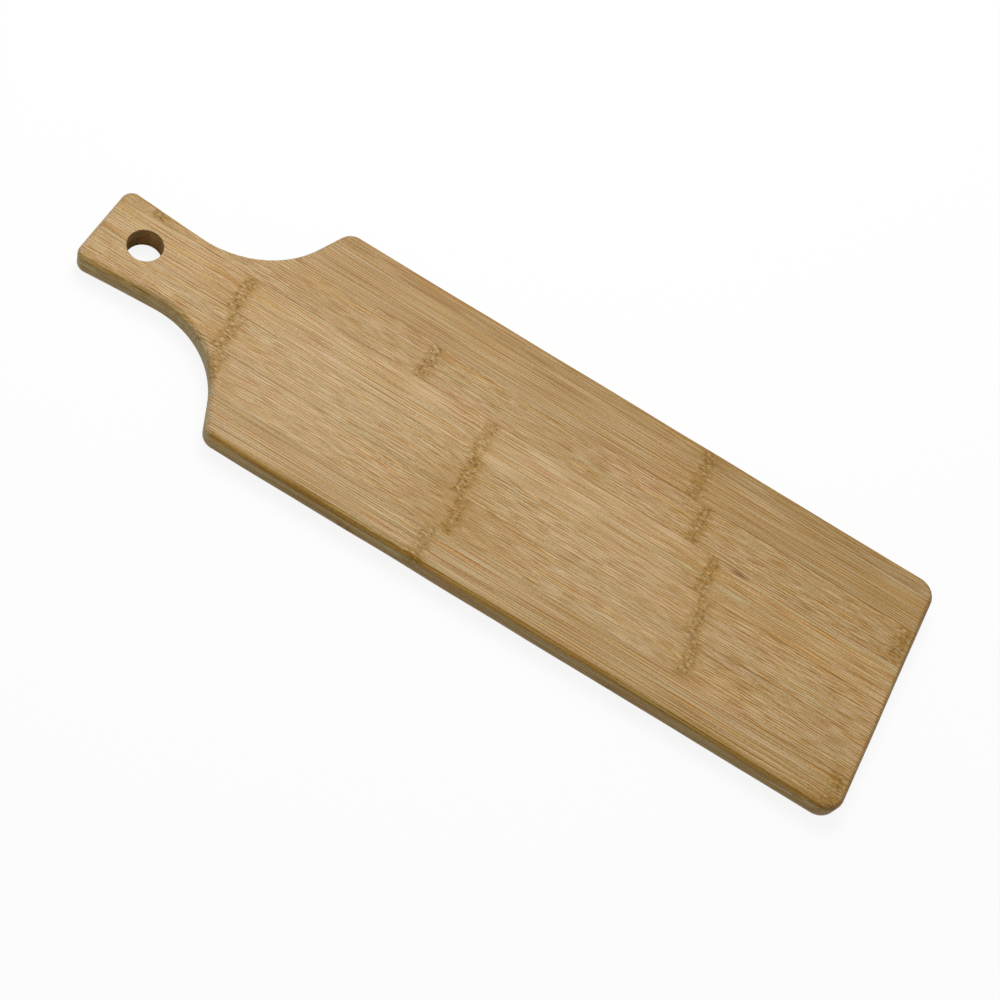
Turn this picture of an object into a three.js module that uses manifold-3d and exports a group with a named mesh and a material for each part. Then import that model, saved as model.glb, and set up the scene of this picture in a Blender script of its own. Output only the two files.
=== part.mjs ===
// Bamboo serving board with a handle and a hanging hole, in millimetres, +Z up.
// Two plies of bamboo strips are glued into a panel with their seams staggered, and the paddle outline, the
// rounded edges and the hole are then cut through both, so each strip is a slice of one board.
// X runs along the board with the handle at -X, and the board lies on Z = 0, centred on the origin.

import * as THREE from "three";
import { mergeVertices } from "three/addons/utils/BufferGeometryUtils.js";
import Module from "manifold-3d";

// Board
const BOARD_LENGTH = 400;
const BOARD_WIDTH = 125;
const BODY_CORNER_RADIUS = 9;
const EDGE_RADIUS = 3;

// Plies
const FACE_PLY = 6;
const BACK_PLY = 6;

// Handle: its sides draw in from the end to a waist, then sweep out to the shoulders
const WAIST_WIDTH = 38.5;
const WAIST_FROM_END = 42.5;
const HANDLE_TAPER = 4; // degrees to the board's length, each side
const HANDLE_CORNER_RADIUS = 5.5;
const SWEEP_RADIUS = 45;
const SWEEP_ANGLE = 66; // degrees to the board's length, where the sweep meets the shoulder
const SHOULDER_RADIUS = 7.5;

// Hanging hole
const HOLE_DIAMETER = 16;
const HOLE_FROM_END = 22.5;

// Strips: a seam of each ply lies this far from the board's middle, and the others are a strip apart
const FACE_STRIP_WIDTH = 19.75;
const FACE_SEAM = -5;
const BACK_STRIP_WIDTH = 19.75;
const BACK_SEAM = 5;

// How finely round shapes are faceted
const ARC_DIVISIONS = 8;
const EDGE_STEPS = 5;
const HOLE_SIDES = 64;

const FACE_COLOUR = 0xb8986c;
const BACK_COLOUR = 0xb29264;
const ROUGHNESS = 0.5;

const thickness = BACK_PLY + FACE_PLY;
const handleEnd = -BOARD_LENGTH / 2;
const overcut = EDGE_RADIUS; // blocks and cutters reach this far past the board

const wasm = await Module();
wasm.setup();

// A three.js geometry as a solid that can be cut
function solid(geometry) {
  geometry.deleteAttribute("normal");
  geometry.deleteAttribute("uv");
  const merged = mergeVertices(geometry);
  const vertProperties = new Float32Array(merged.attributes.position.array);
  const triVerts = new Uint32Array(merged.index.array);
  return new wasm.Manifold(new wasm.Mesh({ numProp: 3, vertProperties, triVerts }));
}

// A cut solid as a named mesh
function piece(name, shape, color) {
  const { vertProperties, triVerts } = shape.getMesh();
  const geometry = new THREE.BufferGeometry();
  geometry.setAttribute("position", new THREE.BufferAttribute(vertProperties, 3));
  geometry.setIndex(new THREE.BufferAttribute(triVerts, 1));
  geometry.computeVertexNormals();
  const material = new THREE.MeshStandardMaterial({ color, roughness: ROUGHNESS, metalness: 0 });
  const mesh = new THREE.Mesh(geometry, material);
  mesh.name = name;
  return mesh;
}

// The routed outline: eight arcs joined by straight lines, the same on both sides of the X axis
function outline() {
  const taper = THREE.MathUtils.degToRad(HANDLE_TAPER);
  const sweep = THREE.MathUtils.degToRad(SWEEP_ANGLE);
  const quarter = Math.PI / 2;

  const waistX = handleEnd + WAIST_FROM_END;
  const sweepY = WAIST_WIDTH / 2 + SWEEP_RADIUS;

  // The handle's corner touches the end of the board and the tapered side
  const gripReach = SWEEP_RADIUS + HANDLE_CORNER_RADIUS;
  const gripX = handleEnd + HANDLE_CORNER_RADIUS;
  const gripRun = waistX - gripReach * Math.sin(taper) - gripX;
  const gripY = sweepY - gripReach * Math.cos(taper) + gripRun * Math.tan(taper);

  // The shoulder touches the straight end of the sweep and the long edge
  const shoulderReach = SWEEP_RADIUS + SHOULDER_RADIUS;
  const shoulderY = BOARD_WIDTH / 2 - SHOULDER_RADIUS;
  const shoulderRise = shoulderY - sweepY + shoulderReach * Math.cos(sweep);
  const shoulderX = waistX + shoulderReach * Math.sin(sweep) + shoulderRise / Math.tan(sweep);

  const cornerX = BOARD_LENGTH / 2 - BODY_CORNER_RADIUS;
  const cornerY = BOARD_WIDTH / 2 - BODY_CORNER_RADIUS;

  const shape = new THREE.Shape();
  shape.absarc(gripX, -gripY, HANDLE_CORNER_RADIUS, -Math.PI, -quarter + taper, false);
  shape.absarc(waistX, -sweepY, SWEEP_RADIUS, quarter + taper, quarter - sweep, true);
  shape.absarc(shoulderX, -shoulderY, SHOULDER_RADIUS, -quarter - sweep, -quarter, false);
  shape.absarc(cornerX, -cornerY, BODY_CORNER_RADIUS, -quarter, 0, false);
  shape.absarc(cornerX, cornerY, BODY_CORNER_RADIUS, 0, quarter, false);
  shape.absarc(shoulderX, shoulderY, SHOULDER_RADIUS, quarter, quarter + sweep, false);
  shape.absarc(waistX, sweepY, SWEEP_RADIUS, -quarter + sweep, -quarter - taper, true);
  shape.absarc(gripX, gripY, HANDLE_CORNER_RADIUS, quarter - taper, Math.PI, false);
  shape.closePath();
  return shape;
}

// The whole board, rounded over along both faces' edges and bored for hanging
function board() {
  const plank = new THREE.ExtrudeGeometry(outline(), {
    depth: thickness - 2 * EDGE_RADIUS,
    curveSegments: ARC_DIVISIONS,
    bevelEnabled: true,
    bevelThickness: EDGE_RADIUS,
    bevelSize: EDGE_RADIUS,
    bevelOffset: -EDGE_RADIUS,
    bevelSegments: EDGE_STEPS,
  });
  plank.translate(0, 0, EDGE_RADIUS);

  const radius = HOLE_DIAMETER / 2;
  const drill = new THREE.CylinderGeometry(radius, radius, thickness + 2 * overcut, HOLE_SIDES);
  drill.rotateX(Math.PI / 2);
  drill.translate(handleEnd + HOLE_FROM_END, 0, thickness / 2);
  return solid(plank).subtract(solid(drill));
}

// Where a ply is divided across the board: its seams, none of them within the rounded edge, and both sides
function divisions(width, seam) {
  const side = BOARD_WIDTH / 2;
  const reach = side - EDGE_RADIUS;
  const first = Math.ceil((-reach - seam) / width);
  const last = Math.floor((reach - seam) / width);
  const places = [-side - overcut];
  for (let count = first; count <= last; count += 1) {
    places.push(seam + count * width);
  }
  places.push(side + overcut);
  return places;
}

// A block between two corners
function block(low, high) {
  const geometry = new THREE.BoxGeometry();
  const position = geometry.attributes.position;
  for (let i = 0; i < position.count; i += 1) {
    position.setXYZ(
      i,
      position.getX(i) < 0 ? low.x : high.x,
      position.getY(i) < 0 ? low.y : high.y,
      position.getZ(i) < 0 ? low.z : high.z,
    );
  }
  return solid(geometry);
}

// One ply of the board, from the lower to the upper height, cut into strips that lie along X
function ply(whole, { name, color, bottom, top, width, seam }) {
  const group = new THREE.Group();
  const end = BOARD_LENGTH / 2 + overcut;
  const places = divisions(width, seam);
  for (let i = 1; i < places.length; i += 1) {
    const low = new THREE.Vector3(-end, places[i - 1], bottom);
    const high = new THREE.Vector3(end, places[i], top);
    const strip = whole.intersect(block(low, high));
    group.add(piece(`${name}_${String(i).padStart(2, "0")}`, strip, color));
  }
  return group;
}

const whole = board();
const servingBoard = new THREE.Group();
servingBoard.add(
  ply(whole, {
    name: "face_strip",
    color: FACE_COLOUR,
    bottom: BACK_PLY,
    top: thickness + overcut,
    width: FACE_STRIP_WIDTH,
    seam: FACE_SEAM,
  }),
  ply(whole, {
    name: "back_strip",
    color: BACK_COLOUR,
    bottom: -overcut,
    top: BACK_PLY,
    width: BACK_STRIP_WIDTH,
    seam: BACK_SEAM,
  }),
);

export default servingBoard;
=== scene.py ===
"""The finish of a laminated bamboo serving board, and the studio it lies in.

Every strip of the packed model is drawn again as a finer strip: the same board, with its outline and edges
as a hand sander leaves them, cut along the same seams. One bamboo pattern runs through all the strips as a
solid, so a strip's fibres, nodes and glue lines carry on over its edges and show as cut ends where it is cut
across. Lengths are millimetres until a mesh is written, in the frame of the packed model.
"""

import logging
import math
from collections.abc import Iterator
from dataclasses import dataclass, field
from enum import Enum
from functools import reduce

import bmesh
import bpy
from mathutils import Color, Matrix, Vector, noise


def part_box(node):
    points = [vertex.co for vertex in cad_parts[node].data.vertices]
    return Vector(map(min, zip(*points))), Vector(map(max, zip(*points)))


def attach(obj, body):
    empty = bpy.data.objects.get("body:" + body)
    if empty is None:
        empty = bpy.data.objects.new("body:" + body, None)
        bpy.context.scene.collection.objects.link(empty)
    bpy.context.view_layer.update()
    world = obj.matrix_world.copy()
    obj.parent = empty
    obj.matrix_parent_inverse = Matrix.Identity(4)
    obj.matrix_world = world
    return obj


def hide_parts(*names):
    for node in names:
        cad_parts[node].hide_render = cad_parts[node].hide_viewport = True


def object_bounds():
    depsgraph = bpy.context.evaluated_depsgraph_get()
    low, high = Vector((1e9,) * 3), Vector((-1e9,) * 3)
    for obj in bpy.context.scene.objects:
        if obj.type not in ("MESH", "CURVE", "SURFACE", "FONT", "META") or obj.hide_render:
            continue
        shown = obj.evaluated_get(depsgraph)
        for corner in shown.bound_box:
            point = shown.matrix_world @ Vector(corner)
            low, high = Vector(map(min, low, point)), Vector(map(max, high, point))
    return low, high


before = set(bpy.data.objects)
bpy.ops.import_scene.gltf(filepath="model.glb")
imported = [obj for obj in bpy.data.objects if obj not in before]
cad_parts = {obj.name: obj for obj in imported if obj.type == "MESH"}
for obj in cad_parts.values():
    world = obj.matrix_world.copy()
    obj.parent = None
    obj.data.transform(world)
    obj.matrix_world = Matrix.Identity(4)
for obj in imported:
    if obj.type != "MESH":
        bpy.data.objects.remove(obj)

LOG = logging.getLogger("serving_board")
CAD_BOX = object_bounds()
MM = 0.001
BODY = "root"
FAR = 9999.0  # a place along or across a strip that it never reaches

Colour = tuple[float, float, float]
Size = tuple[float, float, float]  # along a strip, across it and through it, in millimetres
Socket = bpy.types.NodeSocket
Number = Socket | float
Pair = tuple[Socket, Socket]
Place = tuple[Socket, Socket, Socket]


def linear(red: int, green: int, blue: int) -> Colour:
    """Gives the colour, as shader sockets take it, of display red, green and blue from 0 to 255."""
    shown = Color((red / 255.0, green / 255.0, blue / 255.0))
    return tuple(shown.from_srgb_to_scene_linear())


def add_object(name: str, data: bpy.types.ID) -> bpy.types.Object:
    """Adds an object with its data to the scene."""
    made = bpy.data.objects.new(name, data)
    bpy.context.scene.collection.objects.link(made)
    return made


class Ply(Enum):
    """The two layers of the board."""

    FACE = "face"
    BACK = "back"

    @property
    def slot(self) -> str:
        """Names the record's material slot of this ply."""
        return f"{self.value}_bamboo"


@dataclass(frozen=True)
class EdgePoint:
    """A point of the outline, with its outward normal."""

    place: Vector
    normal: Vector


@dataclass(frozen=True)
class Arc:
    """An arc of the outline, turned through from its first to its last angle in radians."""

    x: float
    y: float
    radius: float
    first: float
    last: float

    def sample(self, spacing: float, turn: float) -> Iterator[tuple[Vector, Vector]]:
        """Gives points along the arc with their outward normals.

        Args:
            spacing: The longest step, in millimetres.
            turn: The widest step, in radians.

        Returns:
            An iterator over places and normals.
        """
        sweep = self.last - self.first
        steps = max(2, math.ceil(abs(sweep) / min(turn, spacing / self.radius)))
        outward = 1.0 if sweep > 0.0 else -1.0
        for step in range(steps + 1):
            angle = self.first + sweep * step / steps
            ray = Vector((math.cos(angle), math.sin(angle)))
            yield Vector((self.x, self.y)) + self.radius * ray, outward * ray


@dataclass(frozen=True)
class PaddleOutline:
    """The routed outline: a body, a handle with a waist, and the sweep between them, all in millimetres."""

    length: float
    width: float
    body_corner: float = 9.0
    waist_width: float = 38.5
    waist_from_end: float = 42.5
    handle_taper: float = 4.0
    handle_corner: float = 5.5
    sweep_radius: float = 45.0
    sweep_angle: float = 66.0
    shoulder_radius: float = 7.5
    spacing: float = 1.6
    turn: float = 6.0

    def arcs(self) -> list[Arc]:
        """Finds the outline's arcs.

        Returns:
            The eight arcs, counter-clockwise from the near corner of the handle's end.
        """
        taper = math.radians(self.handle_taper)
        sweep = math.radians(self.sweep_angle)
        quarter = math.pi / 2.0
        end = -self.length / 2.0

        waist_x = end + self.waist_from_end
        sweep_y = self.waist_width / 2.0 + self.sweep_radius
        reach = self.sweep_radius + self.handle_corner
        grip_x = end + self.handle_corner
        grip_run = waist_x - reach * math.sin(taper) - grip_x
        grip_y = sweep_y - reach * math.cos(taper) + grip_run * math.tan(taper)

        reach = self.sweep_radius + self.shoulder_radius
        shoulder_y = self.width / 2.0 - self.shoulder_radius
        rise = shoulder_y - sweep_y + reach * math.cos(sweep)
        shoulder_x = waist_x + reach * math.sin(sweep) + rise / math.tan(sweep)
        corner_x = self.length / 2.0 - self.body_corner
        corner_y = self.width / 2.0 - self.body_corner
        return [
            Arc(grip_x, -grip_y, self.handle_corner, -math.pi, -quarter + taper),
            Arc(waist_x, -sweep_y, self.sweep_radius, quarter + taper, quarter - sweep),
            Arc(shoulder_x, -shoulder_y, self.shoulder_radius, -quarter - sweep, -quarter),
            Arc(corner_x, -corner_y, self.body_corner, -quarter, 0.0),
            Arc(corner_x, corner_y, self.body_corner, 0.0, quarter),
            Arc(shoulder_x, shoulder_y, self.shoulder_radius, quarter, quarter + sweep),
            Arc(waist_x, sweep_y, self.sweep_radius, sweep - quarter, -quarter - taper),
            Arc(grip_x, grip_y, self.handle_corner, quarter - taper, math.pi),
        ]

    def points(self) -> list[EdgePoint]:
        """Draws the whole outline.

        Returns:
            Closely spaced points along the arcs and the straight stretches between them.
        """
        stretches = [list(arc.sample(self.spacing, math.radians(self.turn))) for arc in self.arcs()]
        found: list[EdgePoint] = []
        for stretch, after in zip(stretches, stretches[1:] + stretches[:1]):
            found += [EdgePoint(place, normal) for place, normal in stretch]
            start, normal = stretch[-1]
            gap = after[0][0] - start
            steps = max(1, math.ceil(gap.length / self.spacing))
            found += [EdgePoint(start + gap * step / steps, normal) for step in range(1, steps)]
        return found


@dataclass
class SandedBoard:
    """The whole board before it is taken as strips: rounded over, bored, and sanded by hand."""

    outline: PaddleOutline
    thickness: float
    edge_radius: float = 3.0
    hole_radius: float = 8.0
    hole_from_end: float = 22.5
    hole_ease: float = 0.2
    hole_sides: int = 96
    edge_steps: int = 8
    holding_ring: float = 0.8
    radius_wander: float = 0.45
    outline_wander: float = 0.22
    wander_length: float = 34.0
    inset_channel: float = 0.0
    over_channel: float = 3.7
    under_channel: float = 8.1

    def wander(self, point: EdgePoint, channel: float) -> float:
        """Gives a smooth change along the outline, from -1 to 1, that is different for each channel."""
        spot = Vector((point.place.x, point.place.y, 0.0)) / self.wander_length
        return noise.noise(spot + Vector((0.0, 0.0, channel)))

    def section(self, point: EdgePoint) -> list[tuple[float, float]]:
        """Gives the board's edge at a point of the outline.

        Args:
            point: The outline's point.

        Returns:
            Pairs of inset and height, from the serving face round to the underside.
        """
        inset = self.outline_wander * (0.5 + 0.5 * self.wander(point, self.inset_channel))
        over = self.edge_radius + self.radius_wander * self.wander(point, self.over_channel)
        under = self.edge_radius + self.radius_wander * self.wander(point, self.under_channel)
        angles = [math.pi / 2.0 * step / self.edge_steps for step in range(self.edge_steps + 1)]
        rounds = [(over * (1.0 - math.sin(a)), self.thickness - over * (1.0 - math.cos(a))) for a in angles]
        rounds += [(under * (1.0 - math.sin(a)), under * (1.0 - math.cos(a))) for a in reversed(angles)]
        first = (over + self.holding_ring, self.thickness)
        last = (under + self.holding_ring, 0.0)
        return [(inset + depth, height) for depth, height in [first, *rounds, last]]

    def mesh(self) -> bmesh.types.BMesh:
        """Makes the board.

        Returns:
            Its closed mesh, in millimetres.
        """
        mesh = bmesh.new()
        rings = []
        for point in self.outline.points():
            ring = []
            for inset, height in self.section(point):
                spot = point.place - point.normal * inset
                ring.append(mesh.verts.new((spot.x, spot.y, height)))
            rings.append(ring)
        self.skin(mesh, rings)

        centre = Vector((self.hole_from_end - self.outline.length / 2.0, 0.0))
        wall = [
            (self.hole_ease, self.thickness),
            (0.0, self.thickness - self.hole_ease),
            (0.0, self.hole_ease),
            (self.hole_ease, 0.0),
        ]
        bore = []
        for side in range(self.hole_sides):
            angle = 2.0 * math.pi * side / self.hole_sides
            ray = Vector((math.cos(angle), math.sin(angle)))
            spots = [(centre + ray * (self.hole_radius + ease), height) for ease, height in wall]
            bore.append([mesh.verts.new((spot.x, spot.y, height)) for spot, height in spots])
        self.skin(mesh, bore)

        for end in (0, -1):
            loops = [[ring[end] for ring in rings], [ring[end] for ring in bore]]
            pairs = [(a, b) for loop in loops for a, b in zip(loop, loop[1:] + loop[:1])]
            edges = [mesh.edges.get(pair) for pair in pairs]
            bmesh.ops.triangle_fill(mesh, use_beauty=True, use_dissolve=False, edges=edges)
        bmesh.ops.recalc_face_normals(mesh, faces=mesh.faces)
        return mesh

    @staticmethod
    def skin(mesh: bmesh.types.BMesh, rings: list[list[bmesh.types.BMVert]]) -> None:
        """Joins neighbouring rings by faces, and the last ring to the first."""
        for ring, after in zip(rings, rings[1:] + rings[:1]):
            for row in range(len(ring) - 1):
                mesh.faces.new((ring[row], ring[row + 1], after[row + 1], after[row]))


@dataclass(frozen=True)
class Layer:
    """A layer of noise in the wood: its size, the noise that gives none and all of it, and its detail."""

    size: Size
    low: float = 0.32
    high: float = 0.68
    detail: float = 0.0


@dataclass(frozen=True)
class Scatter:
    """Marks scattered through the wood: their spacing, where a mark ends and where it is full, in spacings
    from its middle, and the random numbers at which a spot has no mark and a full one.
    """

    size: Size
    rim: float
    core: float
    rare: float
    sure: float


class Graph:
    """Adds shader nodes to a tree and links them up."""

    NOISE_ROUGHNESS = 0.55

    def __init__(self, tree: bpy.types.NodeTree) -> None:
        """Starts on a tree, which keeps the nodes it has."""
        self.tree = tree

    def node(self, kind: str, **settings: object) -> bpy.types.Node:
        """Adds a node.

        Args:
            kind: Blender's name of the node.
            **settings: The node's options.

        Returns:
            The node.
        """
        made = self.tree.nodes.new(kind)
        for name, value in settings.items():
            setattr(made, name, value)
        return made

    def put(self, socket: Socket, value: object) -> None:
        """Links a socket to another one, or sets it to a plain value.

        Args:
            socket: The socket to feed.
            value: The other socket, or the value.
        """
        if isinstance(value, Socket):
            self.tree.links.new(value, socket)
        else:
            socket.default_value = value

    def fill(self, kind: str, *values: Number | None, **settings: object) -> Socket:
        """Adds a node and feeds its first sockets in order.

        Args:
            kind: Blender's name of the node.
            *values: What each socket takes, or None to leave it.
            **settings: The node's options.

        Returns:
            The node's first output.
        """
        made = self.node(kind, **settings)
        for socket, value in zip(made.inputs, values):
            if value is not None:
                self.put(socket, value)
        return made.outputs[0]

    def math(self, operation: str, *values: Number) -> Socket:
        """Adds one step of arithmetic, by Blender's name of it."""
        return self.fill("ShaderNodeMath", *values, operation=operation)

    def total(self, *values: Number) -> Socket:
        """Adds up any number of values."""
        return reduce(lambda first, second: self.math("ADD", first, second), values)

    def product(self, *values: Number) -> Socket:
        """Multiplies any number of values."""
        return reduce(lambda first, second: self.math("MULTIPLY", first, second), values)

    def weigh(self, *pairs: tuple[Number, float]) -> Socket:
        """Adds up values, each times its weight."""
        return self.total(*(self.product(value, weight) for value, weight in pairs))

    def about(self, value: Number, weight: float) -> Socket:
        """Turns a value of 0 to 1 into a swing to both sides of 0, as wide as its weight."""
        return self.product(self.math("SUBTRACT", value, 0.5), weight)

    def step(self, value: Number, low: float, high: float) -> Socket:
        """Rises smoothly from 0 at low to 1 at high, or falls where low is the larger."""
        ends = (low, high, 0.0, 1.0) if low < high else (high, low, 1.0, 0.0)
        return self.fill("ShaderNodeMapRange", value, *ends, interpolation_type="SMOOTHSTEP")

    def bell(self, value: Number, width: Number) -> Socket:
        """Gives 1 where a value is 0, falling away on both sides over a width."""
        share = self.math("DIVIDE", value, width)
        return self.math("EXPONENT", self.product(share, share, -1.0))

    def length(self, x: Socket, y: Socket) -> Socket:
        """Gives the length of a line with two sides."""
        return self.math("SQRT", self.total(self.product(x, x), self.product(y, y)))

    def vector(self, x: Number, y: Number, z: Number) -> Socket:
        """Joins three numbers into a vector."""
        return self.fill("ShaderNodeCombineXYZ", x, y, z)

    def parts(self, vector: Socket) -> Place:
        """Takes a vector apart."""
        made = self.node("ShaderNodeSeparateXYZ")
        self.put(made.inputs[0], vector)
        return tuple(made.outputs)

    def texture(self, kind: str, place: Place, size: Size, **inputs: float) -> bpy.types.Node:
        """Adds a solid texture.

        Args:
            kind: Blender's name of the texture.
            place: The three coordinates, in millimetres.
            size: How far the texture is drawn out along each.
            **inputs: The texture's own numbers.

        Returns:
            The texture's node.
        """
        made = self.node(kind)
        spot = self.vector(*(self.math("DIVIDE", part, span) for part, span in zip(place, size)))
        self.put(made.inputs["Vector"], spot)
        for name, number in {"Scale": 1.0, **inputs}.items():
            made.inputs[name].default_value = number
        return made

    def grain(self, place: Place, size: Size, detail: float) -> Socket:
        """Gives noise from about 0 to 1, with finer layers."""
        inputs = {"Detail": detail, "Roughness": self.NOISE_ROUGHNESS}
        return self.texture("ShaderNodeTexNoise", place, size, **inputs).outputs["Fac"]

    def sway(self, place: Place, size: Size, reach: Number) -> Socket:
        """Gives noise that swings to both sides of 0, about as far as its reach."""
        return self.product(self.about(self.grain(place, size, 1.0), 2.0), reach)

    def layer(self, place: Place, layer: Layer) -> Socket:
        """Gives how much of a layer there is at a place, from 0 to 1."""
        return self.step(self.grain(place, layer.size, layer.detail), layer.low, layer.high)

    def scatter(self, place: Place, marks: Scatter) -> Socket:
        """Gives how much of a mark there is, from 0 to 1."""
        spot = self.texture("ShaderNodeTexVoronoi", place, marks.size).outputs
        chance = self.step(self.parts(spot["Color"])[0], marks.rare, marks.sure)
        return self.product(self.step(spot["Distance"], marks.rim, marks.core), chance)

    def blend(self, share: Number, first: object, second: object, kind: str = "MIX") -> Socket:
        """Mixes two colours.

        Args:
            share: How much of the second colour there is.
            first: The first colour.
            second: The second colour.
            kind: Blender's name for the way to mix.

        Returns:
            The mixed colour's socket.
        """
        made = self.node("ShaderNodeMix", data_type="RGBA", blend_type=kind)
        self.put(made.inputs["Factor"], share)
        for name, value in (("A", first), ("B", second)):
            socket = next(s for s in made.inputs if s.name == name and s.type == "RGBA")
            self.put(socket, value if isinstance(value, Socket) else (*value, 1.0))
        return next(s for s in made.outputs if s.type == "RGBA")

    def tint(self, share: Number, colour: Socket, tint: object) -> Socket:
        """Multiplies a colour by a tint, as far as a share."""
        return self.blend(share, colour, tint, "MULTIPLY")

    def choose(self, share: Number, first: Number, second: Number) -> Socket:
        """Mixes two numbers, by how much of the second there is."""
        return self.fill("ShaderNodeMix", share, None, first, second, data_type="FLOAT")


@dataclass(frozen=True)
class Bamboo:
    """The bamboo's own colours, the painted light and shade of its cut ends and bore, and its satin surface,
    which every strip draws from.
    """

    pale: Colour = linear(209, 181, 137)
    body: Colour = linear(184, 150, 100)
    streak: Colour = linear(158, 110, 38)
    amber: Colour = linear(162, 120, 44)
    knot: Colour = linear(114, 75, 16)
    straw: Colour = (0.98, 1.01, 1.11)
    orange: Colour = (1.04, 0.96, 0.74)
    rose: Colour = (1.07, 0.98, 1.00)
    olive: Colour = (0.95, 1.01, 0.98)
    stripe: Colour = (0.98, 0.92, 0.78)
    glue: Colour = linear(120, 92, 52)
    rind: Colour = (0.90, 0.82, 0.44)
    pith: Colour = (0.98, 1.06, 0.94)
    # Painted light and painted shade: cut ends facing the handle's end are tinted lighter and greyer as if
    # lit, those facing the body's end darker as if in shade
    painted_light_end: Colour = (1.00, 1.08, 1.36)
    painted_shade_end: Colour = (0.76, 0.72, 0.68)
    # Painted shade: darkens the bore's wall
    painted_bore_shade: Colour = (0.89, 0.81, 0.78)
    gloss: float = 0.25
    bump_strength: float = 0.5
    bump_depth: float = 0.03


@dataclass(frozen=True)
class Stain:
    """A stretch of a strip that is more amber, or paler where its strength is below 0."""

    along: float = FAR
    length: float = 1.0
    strength: float = 0.0


@dataclass(frozen=True)
class Fleck:
    """A dark mineral mark in a strip: its place and size in millimetres, and how dark it is."""

    along: float = FAR
    across: float = FAR
    length: float = 1.0
    width: float = 1.0
    strength: float = 0.0


@dataclass(frozen=True)
class Culm:
    """What one strip took from the stem it was split from.

    Attributes:
        seed: Sets the strip's own fibres.
        tone: How light the strip is, around 1.
        nodes: Where the stem's nodes cross the strip, in millimetres along the fibres.
        figure: How much the fibres wave.
        run: How long the fibre lines are.
        warmth: How amber the whole strip is, from 0.
        knots: How dark the nodes are.
        rind: How much of the stem's amber outer skin the strip keeps.
        stains: Stretches that are more amber or paler than the rest.
        fleck: The strip's mineral mark, if it has one.
    """

    seed: float
    tone: float = 1.0
    nodes: tuple[float, ...] = ()
    figure: float = 1.0
    run: float = 1.0
    warmth: float = 0.0
    knots: float = 1.0
    rind: float = 0.1
    stains: tuple[Stain, ...] = ()
    fleck: Fleck = Fleck()

    def numbers(self) -> dict[str, float]:
        """Gives the stem's part of the pattern's inputs.

        Returns:
            The numbers by their inputs' names.
        """
        found = {name.capitalize(): value for name, value in vars(self).items() if isinstance(value, float)}
        found |= {f"Fleck {name}": value for name, value in vars(self.fleck).items()}
        found |= {f"Node {index + 1}": node for index, node in enumerate(self.nodes)}
        for index, stain in enumerate(self.stains):
            found |= {f"Stain {index + 1} {name}": value for name, value in vars(stain).items()}
        return found


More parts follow.
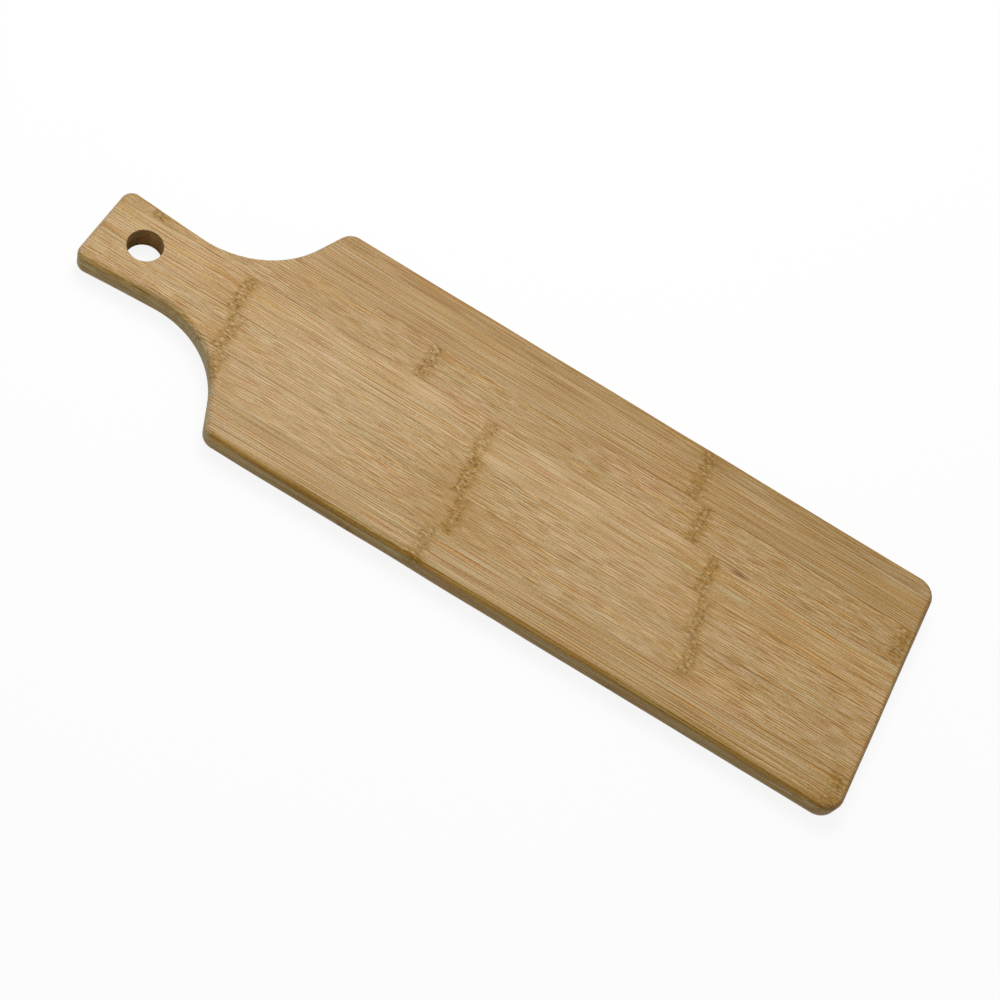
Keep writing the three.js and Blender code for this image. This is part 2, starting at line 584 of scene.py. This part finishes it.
class BambooPattern:
    """The solid pattern of a bamboo strip, made once as a node group that every strip's material uses."""

    NODE_COUNT = 4
    STAIN_COUNT = 4
    NUMBERS = {
        "Seed": 0.0, "Tone": 1.0, "Figure": 1.0, "Run": 1.0, "Warmth": 0.0, "Knots": 1.0, "Rind": 1.0,
        "Low seam": -FAR, "High seam": FAR, "Low ply": 0.0, "High ply": 1.0, "Glue": 0.0,
        "Bore along": FAR, "Bore radius": 1.0,
    }
    OUTPUTS = {"Colour": "NodeSocketColor", "Roughness": "NodeSocketFloat", "Height": "NodeSocketFloat"}

    # How far a seed moves its strip in the wood, and how many times as far along it
    SEED_STRIDE = 61.7
    SEED_STRETCH = 7.0

    # The fibres
    LINE_SPACING = 1.15
    LINE_SHARE = 0.42
    LINE_DRIFT: Size = (50.0, 2.2, 2.0)
    LONG_WAVE: Size = (90.0, 14.0, 12.0)
    SHORT_WAVE: Size = (16.0, 5.0, 6.0)
    THREAD = Layer((20.0, 0.55, 0.6))
    SPECK = Layer((1.4, 0.4, 0.4))
    COMB = Layer((18.0, 1.2, 1.5), 0.28, 0.66)
    EVEN = Layer((24.0, 1.4, 1.5), 0.2, 0.6)
    BUNCH = Layer((50.0, 0.85, 1.2))
    BAND = Layer((110.0, 4.0, 5.0), 0.30, 0.70, 1.0)
    CLOUD = Layer((40.0, 10.0, 9.0), 0.30, 0.70, 2.0)
    STRIPE = Layer((170.0, 3.2, 4.0), 0.54, 0.72, 1.0)
    BUNDLE = Scatter((30.0, 0.8, 0.75), 0.42, 0.14, 0.15, 0.9)
    HUE: Size = (60.0, 2.6, 4.0)
    FLUSH: Size = (75.0, 2.2, 3.1)
    PATCHY = Layer((40.0, 3.0, 6.0), 0.3, 0.7, 1.0)

    # The nodes
    NODE_WANDER: Size = (4.5, 1.0, 1.0)
    FLAME: Size = (8.0, 2.6, 5.0)
    RAGGED: Size = (3.0, 2.2, 2.0)
    FRAYED: Size = (4.0, 0.7, 1.0)
    TAIL = Layer((9.0, 1.0, 2.0), 0.40, 0.64, 2.0)
    PATCH = Layer((4.0, 0.9, 2.0), 0.30, 0.60, 2.0)
    DASH = Scatter((2.2, 0.86, 1.0), 0.58, 0.30, 0.10, 0.40)
    DOT = Scatter((1.3, 1.0, 1.1), 0.46, 0.20, 0.35, 0.65)
    # Painted glints: pale specks scattered round the nodes
    PAINTED_GLINT = Scatter((2.6, 0.9, 1.1), 0.48, 0.22, 0.4, 0.65)

    # The seams and the cuts
    BROKEN = Layer((22.0, 9.0, 9.0), 0.30, 0.62, 2.0)
    RIND_WAVE: Size = (30.0, 20.0, 3.0)
    LEAST_LEVEL = 0.02
    SMOOTHEST = 0.46

    def __init__(self, bamboo: Bamboo) -> None:
        """Makes the node group.

        Args:
            bamboo: The colours to draw with.
        """
        self.bamboo = bamboo
        self.group = bpy.data.node_groups.new("BambooPattern", "ShaderNodeTree")
        numbers = dict(self.NUMBERS)
        numbers |= {f"Fleck {name}": value for name, value in vars(Fleck()).items()}
        numbers |= {f"Node {index + 1}": FAR for index in range(self.NODE_COUNT)}
        for index in range(self.STAIN_COUNT):
            numbers |= {f"Stain {index + 1} {name}": value for name, value in vars(Stain()).items()}
        face = self.group.interface
        for name in ("Place", "Facing"):
            face.new_socket(name, in_out="INPUT", socket_type="NodeSocketVector")
        for name, value in numbers.items():
            face.new_socket(name, in_out="INPUT", socket_type="NodeSocketFloat").default_value = value
        for name, kind in self.OUTPUTS.items():
            face.new_socket(name, in_out="OUTPUT", socket_type=kind)
        self.graph = Graph(self.group)
        self.given = self.graph.node("NodeGroupInput").outputs
        self.draw()

    def draw(self) -> None:
        """Draws the strip, from its fibres to its cuts, and hands out colour, roughness and height."""
        g, given = self.graph, self.given
        along, across, depth = g.parts(given["Place"])
        shift = g.product(given["Seed"], self.SEED_STRIDE)
        moved = g.math("ADD", along, g.product(shift, self.SEED_STRETCH))
        here = (moved, g.math("ADD", across, shift), depth)
        near = self.nearest_node(along, across)
        strand = (here[0], g.math("ADD", here[1], self.bend(here, near)), depth)
        fibre = (g.math("DIVIDE", here[0], given["Run"]), strand[1], depth)

        thread = g.layer(fibre, self.THREAD)
        cloud = g.layer(here, self.CLOUD)
        colour, grooves = self.draw_fibres(fibre, strand, thread, cloud)
        colour, marks = self.draw_nodes(colour, near, here, strand)
        colour = self.draw_stains(colour, along, fibre)
        colour, seam = self.draw_seams(colour, (along, across, depth))
        colour, bore = self.draw_cuts(colour, (along, across, depth))
        colour = g.tint(1.0, colour, g.vector(given["Tone"], given["Tone"], given["Tone"]))

        rough = g.weigh((thread, 0.08), (marks, 0.12), (cloud, 0.04), (bore, 0.4))
        rough = g.math("ADD", rough, self.SMOOTHEST)
        height = g.weigh((grooves, -0.4), (thread, 0.3), (marks, -1.0), (seam, -0.7))
        out = g.node("NodeGroupOutput").inputs
        for name, value in zip(self.OUTPUTS, (colour, rough, height)):
            g.put(out[name], value)

    def nearest_node(self, along: Socket, across: Socket) -> Socket:
        """Gives the distance along the fibres to the nearest node, below 0 on the handle's side.

        Args:
            along: The place along the fibres.
            across: The place across the strip.

        Returns:
            The signed distance's socket, with the node's own wander taken off.
        """
        g = self.graph
        seed = g.product(self.given["Seed"], 17.3)
        spot = g.math("ADD", along, g.sway((across, seed, seed), self.NODE_WANDER, 1.7))
        nearest = g.math("SUBTRACT", spot, self.given["Node 1"])
        for index in range(1, self.NODE_COUNT):
            other = g.math("SUBTRACT", spot, self.given[f"Node {index + 1}"])
            closer = g.math("LESS_THAN", g.math("ABSOLUTE", other), g.math("ABSOLUTE", nearest))
            nearest = g.choose(closer, nearest, other)
        return nearest

    def by_node(self, near: Socket, past: float, before: float) -> Socket:
        """Gives 1 at a node, falling away over one length past it and another on the handle's side."""
        side = self.graph.math("LESS_THAN", near, 0.0)
        return self.graph.bell(near, self.graph.choose(side, past, before))

    def bend(self, here: Place, near: Socket) -> Socket:
        """Gives how far the fibres wave to the side.

        Args:
            here: The place in the strip.
            near: The distance to the nearest node.

        Returns:
            The shift across the strip, in millimetres.
        """
        g, figure = self.graph, self.given["Figure"]
        return g.total(
            g.sway(here, self.LONG_WAVE, g.product(figure, 1.6)),
            g.sway(here, self.SHORT_WAVE, g.product(figure, 0.2)),
            g.product(self.by_node(near, 9.0, 26.0), g.sway(here, self.FLAME, 1.0)),
        )

    def draw_fibres(self, fibre: Place, strand: Place, thread: Socket, cloud: Socket) -> Pair:
        """Draws the fibres: threads, specks, even lines that come and go, bundles and slow changes of hue.

        Args:
            fibre: The place along the fibre lines.
            strand: The place along the waving fibres.
            thread: How light the threads are.
            cloud: How light the wood is at large.

        Returns:
            The colour, and where the fibres leave grooves.
        """
        g, wood = self.graph, self.bamboo
        drift = g.sway(fibre, self.LINE_DRIFT, 5.0)
        turns = g.product(fibre[1], 2.0 * math.pi / self.LINE_SPACING)
        line = g.step(g.math("SINE", g.total(turns, drift, g.product(fibre[2], 3.1))), -0.1, 0.9)
        comb = g.product(line, g.layer(fibre, self.COMB))
        even = g.product(g.math("SUBTRACT", line, self.LINE_SHARE), g.layer(fibre, self.EVEN))
        bundle = g.scatter(fibre, self.BUNDLE)
        swing = g.total(
            g.about(g.layer(strand, self.SPECK), 0.26),
            g.about(thread, 0.50),
            g.product(comb, -0.16),
            g.product(even, -0.50),
            g.about(g.layer(strand, self.BUNCH), 0.12),
            g.about(g.layer(strand, self.BAND), 0.10),
            g.about(cloud, 0.06),
            g.product(bundle, -0.20),
        )
        cut_end = g.step(g.math("ABSOLUTE", g.parts(self.given["Facing"])[0]), 0.35, 0.85)
        value = g.math("MULTIPLY_ADD", swing, g.choose(cut_end, 1.0, 0.4), 0.55)
        colour = g.blend(g.step(value, 0.40, 1.05), wood.body, wood.pale)
        colour = g.blend(g.step(value, 0.60, -0.05), colour, wood.streak)
        for size, over, under in ((self.HUE, wood.straw, wood.orange), (self.FLUSH, wood.rose, wood.olive)):
            hue = g.grain(strand, size, 3.0)
            colour = g.tint(g.step(hue, 0.50, 0.70), colour, over)
            colour = g.tint(g.step(hue, 0.50, 0.30), colour, under)
        colour = g.tint(g.product(g.layer(strand, self.STRIPE), 0.8), colour, wood.stripe)
        return colour, g.total(bundle, comb)

    def draw_nodes(self, colour: Socket, near: Socket, here: Place, strand: Place) -> Pair:
        """Draws the nodes: a stain along the fibres, an amber band, dark dots and dashes, and painted glints
        in a pale colour.

        Args:
            colour: The colour so far.
            near: The distance to the nearest node.
            here: The place in the strip.
            strand: The place along the waving fibres.

        Returns:
            The new colour, and where the dots and dashes are.
        """
        g, wood, knots = self.graph, self.bamboo, self.given["Knots"]
        tail = g.product(self.by_node(near, 9.0, 16.0), g.layer(strand, self.TAIL))
        colour = g.blend(g.product(tail, knots, 0.5), colour, wood.amber)
        ragged = g.total(near, g.sway(here, self.RAGGED, 1.8))
        frayed = g.total(ragged, g.sway(strand, self.FRAYED, 2.6))
        band = g.product(g.step(frayed, -5.2, -1.4), g.step(frayed, 5.8, 1.4))
        colour = g.blend(g.product(band, g.layer(strand, self.PATCH), knots, 0.9), colour, wood.amber)

        rows = g.total(
            g.bell(g.math("ADD", ragged, 1.8), 1.2),
            g.bell(g.math("SUBTRACT", ragged, 1.3), 1.4),
            g.product(band, 0.25),
        )
        dashes = g.product(g.scatter(strand, self.DASH), 0.75)
        marks = g.product(g.math("MAXIMUM", dashes, g.scatter(here, self.DOT)), rows, knots)
        marks = g.math("MINIMUM", marks, 1.0)
        colour = g.blend(g.product(marks, 0.78), colour, wood.knot)
        # Painted glints round the nodes
        painted_glints = g.product(g.scatter(strand, self.PAINTED_GLINT), g.bell(ragged, 3.8), 0.8)
        return g.blend(painted_glints, colour, wood.pale), marks

    def draw_stains(self, colour: Socket, along: Socket, fibre: Place) -> Socket:
        """Draws the stretches of the strip that are more amber or paler.

        Args:
            colour: The colour so far.
            along: The place along the fibres.
            fibre: The place along the fibre lines.

        Returns:
            The new colour.
        """
        g, given, wood = self.graph, self.given, self.bamboo
        warm = given["Warmth"]
        for index in range(self.STAIN_COUNT):
            name = f"Stain {index + 1}"
            away = g.math("SUBTRACT", along, given[f"{name} along"])
            spread = g.bell(away, given[f"{name} length"])
            warm = g.total(warm, g.product(spread, given[f"{name} strength"]))
        warm = g.product(warm, g.math("MULTIPLY_ADD", g.layer(fibre, self.PATCHY), 0.7, 0.65))
        colour = g.blend(g.math("MAXIMUM", warm, 0.0), colour, wood.amber)
        return g.blend(g.math("MAXIMUM", g.product(warm, -1.0), 0.0), colour, wood.pale)

    def draw_seams(self, colour: Socket, place: Place) -> Pair:
        """Draws the glue lines where the strip meets its neighbours, and its mineral mark if it has one.

        Args:
            colour: The colour so far.
            place: The place along, across and through the board.

        Returns:
            The new colour, and where the glue lines are.
        """
        g, given, wood = self.graph, self.given, self.bamboo
        along, across, depth = place
        low = g.math("SUBTRACT", across, given["Low seam"])
        high = g.math("SUBTRACT", given["High seam"], across)
        side = g.math("MINIMUM", low, high)
        level = g.math("ABSOLUTE", g.math("SUBTRACT", depth, given["Glue"]))
        broken = g.math("MULTIPLY_ADD", g.layer(place, self.BROKEN), 0.6, 0.15)
        line = g.math(
            "MAXIMUM",
            g.product(g.step(side, 0.26, 0.06), broken),
            g.product(g.step(level, 0.34, 0.10), 0.5),
        )
        colour = g.blend(line, colour, wood.glue)
        reach = g.bell(g.math("SUBTRACT", along, given["Fleck along"]), given["Fleck length"])
        width = g.bell(g.math("SUBTRACT", across, given["Fleck across"]), given["Fleck width"])
        return g.blend(g.product(reach, width, given["Fleck strength"]), colour, wood.knot), line

    def draw_cuts(self, colour: Socket, place: Place) -> Pair:
        """Draws what the cuts lay open: amber rind and grey pith, painted light and shade on the cut ends,
        and painted shade on the bore's wall.

        Args:
            colour: The colour so far.
            place: The place along, across and through the board.

        Returns:
            The new colour, and where the bore is.
        """
        g, given, wood = self.graph, self.given, self.bamboo
        along, across, depth = place
        facing = g.parts(given["Facing"])
        upright = g.math("ABSOLUTE", facing[2])
        level = g.math("MAXIMUM", g.length(facing[0], facing[1]), self.LEAST_LEVEL)
        heading = g.math("DIVIDE", facing[0], level)
        slant = g.math("ABSOLUTE", heading)
        edge = g.step(upright, 0.995, 0.88)

        ply = g.math("SUBTRACT", given["High ply"], given["Low ply"])
        rise = g.math("DIVIDE", g.math("SUBTRACT", depth, given["Low ply"]), ply)
        rise = g.total(rise, g.sway(place, self.RIND_WAVE, 0.22))
        amber = g.product(g.step(rise, 0.42, 0.74), given["Rind"], g.step(slant, 0.5, 0.1))
        colour = g.tint(g.product(edge, amber), colour, wood.rind)
        plain = g.product(g.step(upright, 0.92, 0.35), g.math("SUBTRACT", 1.0, amber))
        colour = g.tint(plain, colour, wood.pith)

        # Painted light on cut ends that face the handle's end, painted shade on those that face the body's
        # end
        cut_end = g.blend(g.step(heading, 0.3, -0.3), wood.painted_shade_end, wood.painted_light_end)
        colour = g.tint(g.product(edge, g.step(slant, 0.15, 0.7)), colour, cut_end)
        off = g.length(g.math("SUBTRACT", along, given["Bore along"]), across)
        wall = g.step(g.math("SUBTRACT", off, given["Bore radius"]), 0.5, 0.15)
        bore = g.product(wall, g.step(upright, 0.95, 0.6))
        # Painted shade on the bore's wall
        return g.tint(bore, colour, wood.painted_bore_shade), bore


@dataclass
class Strip:
    """One bamboo strip: a slice of the sanded board that stands for one node of the frame."""

    SLACK = 1e-3
    LEAST_CUT = 1e-4
    ON_PLANE = 1e-5

    node: str
    ply: Ply
    culm: Culm
    low: Vector = field(init=False)
    high: Vector = field(init=False)
    sharp_angle: float = 32.0

    def __post_init__(self) -> None:
        """Takes the strip's place from its node."""
        low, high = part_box(self.node)
        self.low = Vector(low) / MM
        self.high = Vector(high) / MM

    def seams(self, outline: PaddleOutline) -> tuple[float, float]:
        """Gives where the strip meets its neighbours.

        Args:
            outline: The board's outline.

        Returns:
            The lower and the upper one, or a far place where a side is the board's own edge.
        """
        inside = outline.width / 2.0 - self.SLACK
        low = self.low.y if self.low.y > -inside else -FAR
        high = self.high.y if self.high.y < inside else FAR
        return low, high

    def build(self, board: SandedBoard, whole: bmesh.types.BMesh) -> bpy.types.Object:
        """Cuts the strip out of the board.

        Args:
            board: The board that the strip is part of.
            whole: The board's mesh, which is left as it is.

        Returns:
            The strip as a new object.
        """
        mesh = whole.copy()
        low, high = self.seams(board.outline)
        side = Vector((0.0, 1.0, 0.0))
        up = Vector((0.0, 0.0, 1.0))
        for place, normal in ((self.high.z, up), (-self.low.z, -up), (high, side), (-low, -side)):
            if abs(place) < FAR:
                self.cut(mesh, normal * place, normal)
        bmesh.ops.recalc_face_normals(mesh, faces=mesh.faces)
        bmesh.ops.scale(mesh, vec=(MM, MM, MM), verts=mesh.verts)
        data = bpy.data.meshes.new(f"{self.node}_sanded")
        mesh.to_mesh(data)
        mesh.free()
        data.shade_smooth()
        data.set_sharp_from_angle(angle=math.radians(self.sharp_angle))
        return add_object(f"{self.node}_sanded", data)

    def cut(self, mesh: bmesh.types.BMesh, place: Vector, normal: Vector) -> None:
        """Takes off what lies past a plane and closes the cut, unless nothing does.

        Args:
            mesh: The mesh to cut.
            place: A point of the plane.
            normal: The side to take off.
        """
        if max((vert.co - place).dot(normal) for vert in mesh.verts) < self.LEAST_CUT:
            return
        bmesh.ops.bisect_plane(
            mesh,
            geom=mesh.verts[:] + mesh.edges[:] + mesh.faces[:],
            dist=self.ON_PLANE,
            plane_co=place,
            plane_no=normal,
            clear_outer=True,
        )
        rim = [edge for edge in mesh.edges if edge.is_boundary]
        bmesh.ops.triangle_fill(mesh, use_beauty=True, use_dissolve=False, edges=rim, normal=normal)

    def dress(self, strip: bpy.types.Object, pattern: BambooPattern, board: SandedBoard) -> None:
        """Gives the strip its material.

        Args:
            strip: The strip's object.
            pattern: The bamboo pattern.
            board: The board that the strip is part of.
        """
        material = bpy.data.materials.new(f"{self.node}_bamboo")
        material.use_nodes = True
        g = Graph(material.node_tree)
        shader = next(n for n in material.node_tree.nodes if n.type == "BSDF_PRINCIPLED")
        wood = g.node("ShaderNodeGroup", node_tree=pattern.group)

        here = g.node("ShaderNodeTexCoord").outputs
        place = g.node("ShaderNodeMapping")
        place.inputs["Scale"].default_value = (1.0 / MM,) * 3
        g.put(place.inputs["Vector"], here["Object"])
        g.put(wood.inputs["Place"], place.outputs[0])
        g.put(wood.inputs["Facing"], here["Normal"])

        low, high = self.seams(board.outline)
        numbers = self.culm.numbers() | {
            "Low seam": low,
            "High seam": high,
            "Low ply": self.low.z,
            "High ply": self.high.z,
            "Glue": self.low.z if self.ply is Ply.FACE else self.high.z,
            "Bore along": board.hole_from_end - board.outline.length / 2.0,
            "Bore radius": board.hole_radius,
        }
        for name, number in numbers.items():
            wood.inputs[name].default_value = number

        bump = g.node("ShaderNodeBump")
        bump.inputs["Strength"].default_value = pattern.bamboo.bump_strength
        bump.inputs["Distance"].default_value = pattern.bamboo.bump_depth * MM
        g.put(bump.inputs["Height"], wood.outputs["Height"])
        g.put(shader.inputs["Base Color"], wood.outputs["Colour"])
        g.put(shader.inputs["Roughness"], wood.outputs["Roughness"])
        g.put(shader.inputs["Normal"], bump.outputs[0])
        shader.inputs["Specular IOR Level"].default_value = pattern.bamboo.gloss
        strip.data.materials.append(material)


@dataclass(frozen=True)
class BackStems:
    """The rule for the stems of the back's strips, whose nodes and tones swing about a middle value.

    The stride sets how far apart two seeds lie in the noise that the rule draws from.
    """

    first_seed: float = 20.0
    stride: float = 1.37
    first_node: float = -124.0
    node_swing: float = 104.0
    node_spacing: float = 128.0
    node_count: int = 3
    tone: float = 1.02
    tone_swing: float = 0.13
    warmth: float = 0.1
    edge_rind: float = 0.65

    def swing(self, seed: float, channel: float) -> float:
        """Gives a strip's own number, from -1 to 1, that is different for each channel."""
        return noise.noise(Vector((seed, channel, 0.0)) * self.stride)

    def culms(self, count: int) -> list[Culm]:
        """Gives the stems.

        Args:
            count: How many strips there are.

        Returns:
            One stem for each strip.
        """
        found = []
        for index in range(count):
            seed = self.first_seed + index
            first = self.first_node + self.node_swing * self.swing(seed, 0.5)
            nodes = tuple(first + self.node_spacing * step for step in range(self.node_count))
            tone = self.tone + self.tone_swing * self.swing(seed, 4.5)
            rind = self.edge_rind if index in (0, count - 1) else Culm.rind
            found.append(Culm(seed, tone, nodes, warmth=self.warmth, rind=rind))
        return found


@dataclass
class ServingBoard:
    """The board: its two plies of strips, sanded and dressed."""

    bamboo: Bamboo = field(default_factory=Bamboo)
    back: BackStems = field(default_factory=BackStems)
    face: tuple[Culm, ...] = (
        Culm(
            1.0, 1.0, (-7.0, 193.5), figure=0.35, run=1.8, knots=0.75, rind=1.0,
            stains=(Stain(75.0, 38.0, 0.14), Stain(175.0, 40.0, 0.06), Stain(-62.0, 26.0, 0.16)),
        ),
        Culm(
            2.0, 1.03, (-122.0, -1.5, 114.0), run=0.45,
            stains=(
                Stain(-2.0, 36.0, 0.33), Stain(-80.0, 50.0, -0.15),
                Stain(80.0, 36.0, -0.2), Stain(186.0, 24.0, 0.14),
            ),
            fleck=Fleck(125.0, -29.2, 10.0, 0.32, 0.85),
        ),
        Culm(
            3.0, 1.03, (-126.0, -6.0, 110.0), run=0.45, knots=1.1,
            stains=(
                Stain(-80.0, 40.0, -0.14), Stain(85.0, 50.0, -0.16),
                Stain(-8.0, 22.0, 0.14), Stain(186.0, 22.0, 0.14),
            ),
        ),
        Culm(
            4.0, 1.05, (-131.0, -8.5, 105.0),
            stains=(
                Stain(40.0, 80.0, -0.12), Stain(146.0, 24.0, 0.14),
                Stain(188.0, 18.0, 0.04), Stain(-150.0, 40.0, 0.1),
            ),
            fleck=Fleck(117.5, 13.5, 5.0, 1.2, 0.85),
        ),
        Culm(
            5.0, 0.98, (-181.0, -47.0, 91.5, 194.0), run=0.45, knots=0.9,
            stains=(Stain(22.0, 30.0, 0.26), Stain(-100.0, 26.0, 0.24), Stain(152.0, 42.0, 0.08)),
            fleck=Fleck(189.5, 15.4, 1.6, 0.6, 0.5),
        ),
        Culm(
            6.0, 0.945, (83.0,), figure=0.5, run=1.7, warmth=0.1, knots=0.8,
            stains=(Stain(-40.0, 60.0, 0.18), Stain(150.0, 50.0, 0.16), Stain(62.0, 20.0, -0.1)),
        ),
        Culm(
            7.0, 0.89, (81.5,), figure=0.3, run=0.8, warmth=0.2, rind=1.0,
            stains=(Stain(-55.0, 36.0, 0.18), Stain(25.0, 34.0, 0.18), Stain(150.0, 40.0, 0.04)),
            fleck=Fleck(86.0, 56.6, 4.0, 2.0, 0.25),
        ),
    )

    def make(self) -> list[bpy.types.Object]:
        """Makes every strip, dresses it and puts it in its node's place.

        Returns:
            The strips' objects.
        """
        low, high = (Vector(corner) / MM for corner in CAD_BOX)
        outline = PaddleOutline(length=high.x - low.x, width=high.y - low.y)
        board = SandedBoard(outline, thickness=high.z - low.z)
        whole = board.mesh()
        pattern = BambooPattern(self.bamboo)
        made = []
        for ply in Ply:
            names = sorted(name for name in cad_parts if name.startswith(ply.value))
            culms = self.face if ply is Ply.FACE else self.back.culms(len(names))
            for name, culm in zip(names, culms, strict=True):
                strip = Strip(name, ply, culm)
                piece = strip.build(board, whole)
                strip.dress(piece, pattern, board)
                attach(piece, BODY)
                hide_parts(name)
                LOG.info("%s: %d faces", piece.name, len(piece.data.polygons))
                made.append(piece)
        whole.free()
        return made


@dataclass(frozen=True)
class Viewpoint:
    """Where the camera stands: turned about the board's middle, raised, rolled and at a distance."""

    azimuth: float = 1.236
    elevation: float = 60.575
    roll: float = 30.171
    distance: float = 0.79496
    target: tuple[float, float, float] = (0.01128, -0.00999, 0.0)
    lens: float = 65.673
    sensor: float = 36.0

    def place(self) -> None:
        """Adds the camera and makes it the scene's own."""
        azimuth, elevation = math.radians(self.azimuth), math.radians(self.elevation)
        back = Vector((
            math.sin(azimuth) * math.cos(elevation),
            -math.cos(azimuth) * math.cos(elevation),
            math.sin(elevation),
        ))
        right = Vector((math.cos(azimuth), math.sin(azimuth), 0.0))
        turned = Matrix((right, back.cross(right), back)).transposed().to_4x4()
        turned @= Matrix.Rotation(math.radians(self.roll), 4, "Z")
        data = bpy.data.cameras.new("Camera")
        data.lens = self.lens
        data.sensor_width = self.sensor
        camera = add_object("Camera", data)
        camera.matrix_world = Matrix.Translation(Vector(self.target) + back * self.distance) @ turned
        bpy.context.scene.camera = camera


@dataclass(frozen=True)
class Lamp:
    """A soft square lamp that looks at a point of the board."""

    name: str
    place: tuple[float, float, float]
    aim: tuple[float, float, float]
    size: float
    power: float

    def light(self) -> None:
        """Adds the lamp."""
        data = bpy.data.lights.new(self.name, "AREA")
        data.size = self.size
        data.energy = self.power
        lamp = add_object(self.name, data)
        lamp.location = self.place
        gaze = Vector(self.aim) - Vector(self.place)
        lamp.rotation_euler = gaze.to_track_quat("-Z", "Y").to_euler()


@dataclass
class Studio:
    """The pale floor, the soft light and the camera."""

    viewpoint: Viewpoint = field(default_factory=Viewpoint)
    lamp: Lamp = Lamp("KeyLamp", (-0.25, 0.45, 0.85), (-0.02, 0.0, 0.0), size=0.6, power=7.0)
    ambient: float = 0.36
    floor_span: float = 6.0
    floor_drop: float = 0.0002
    floor_albedo: float = 0.5
    floor_roughness: float = 0.9
    floor_white: float = 0.88
    shade_ends: tuple[float, float] = (0.22, 0.5)

    def set_up(self) -> None:
        """Adds everything round the board."""
        bpy.context.scene.view_settings.view_transform = "Standard"
        self.viewpoint.place()
        self.lamp.light()
        self.sky()
        self.floor()

    def sky(self) -> None:
        """Makes the surroundings plain: white to look at, and an even soft light on the board."""
        world = bpy.data.worlds.new("Studio")
        world.use_nodes = True
        g = Graph(world.node_tree)
        background = next(n for n in world.node_tree.nodes if n.type == "BACKGROUND")
        background.inputs["Color"].default_value = (1.0, 1.0, 1.0, 1.0)
        seen = g.node("ShaderNodeLightPath").outputs["Is Camera Ray"]
        g.put(background.inputs["Strength"], g.choose(seen, self.ambient, 1.0))
        bpy.context.scene.world = world

    def floor(self) -> bpy.types.Object:
        """Makes the floor, white to look at with the board's shadow on it.

        Returns:
            The floor's object.
        """
        data = bpy.data.meshes.new("Floor")
        half = self.floor_span / 2.0
        corners = [(-half, -half), (half, -half), (half, half), (-half, half)]
        data.from_pydata([(x, y, -self.floor_drop) for x, y in corners], [], [(0, 1, 2, 3)])
        material = bpy.data.materials.new("Floor")
        material.use_nodes = True
        tree = material.node_tree
        g = Graph(tree)
        shader = next(n for n in tree.nodes if n.type == "BSDF_PRINCIPLED")
        output = next(n for n in tree.nodes if n.type == "OUTPUT_MATERIAL")
        path = g.node("ShaderNodeLightPath").outputs
        seen = g.math("MAXIMUM", path["Is Camera Ray"], path["Is Glossy Ray"])
        seen = g.math("MAXIMUM", seen, path["Is Transmission Ray"])
        shade = g.blend(seen, (self.floor_albedo,) * 3, (1.0, 1.0, 1.0))
        g.put(shader.inputs["Base Color"], shade)
        shader.inputs["Roughness"].default_value = self.floor_roughness
        shader.inputs["Specular IOR Level"].default_value = 0.0
        glow = g.node("ShaderNodeEmission")
        mix = g.node("ShaderNodeMixShader")
        away = g.node("ShaderNodeVectorMath", operation="LENGTH")
        g.put(away.inputs[0], g.node("ShaderNodeTexCoord").outputs["Object"])
        white = g.choose(g.step(away.outputs["Value"], *self.shade_ends), self.floor_white, 1.0)
        g.put(mix.inputs[0], g.product(seen, white))
        g.put(mix.inputs[1], shader.outputs[0])
        g.put(mix.inputs[2], glow.outputs[0])
        g.put(output.inputs["Surface"], mix.outputs[0])
        data.materials.append(material)
        return add_object("Floor", data)


def main() -> None:
    """Builds the studio and the board, and reports each piece."""
    logging.basicConfig(level=logging.INFO, format="%(message)s")
    Studio().set_up()
    pieces = ServingBoard().make()
    LOG.info("%d pieces", len(pieces))
    bpy.context.view_layer.update()


if __name__ == "__main__":
    main()
